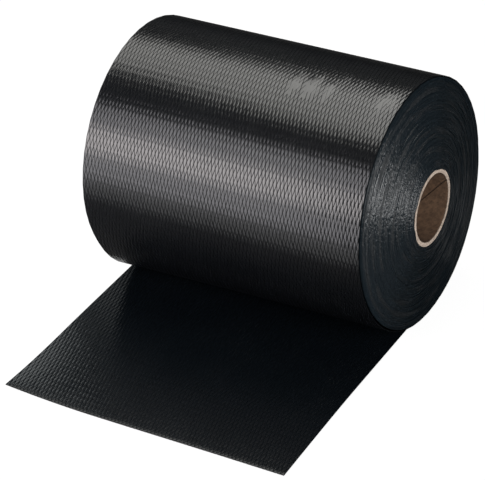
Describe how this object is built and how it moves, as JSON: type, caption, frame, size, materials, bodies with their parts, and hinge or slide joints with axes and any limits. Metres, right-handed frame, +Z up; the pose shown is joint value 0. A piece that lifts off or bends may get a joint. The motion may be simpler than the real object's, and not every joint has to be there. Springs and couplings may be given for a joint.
{
  "type": "roll of damp proof course",
  "caption": "Embossed black polyethylene damp proof course strip wound on a paper core, lying on its side with its free end laid flat in front.",
  "frame": {"origin": "centre of the overall box on the floor under the roll and its free end", "axes": "+X along the roll's axis towards the end where the core and inner turns stand out, -Y the way the free end runs, +Z up"},
  "size_m": [0.234, 0.303, 0.186],
  "materials": {
    "black_film": "satin black polyethylene, embossed all over with long diamonds",
    "paper_core": "plain spiral wound brown paper"
  },
  "bodies": {
    "root": {"membrane_roll": "black_film", "core_tube": "paper_core"}
  },
  "joints": []
}
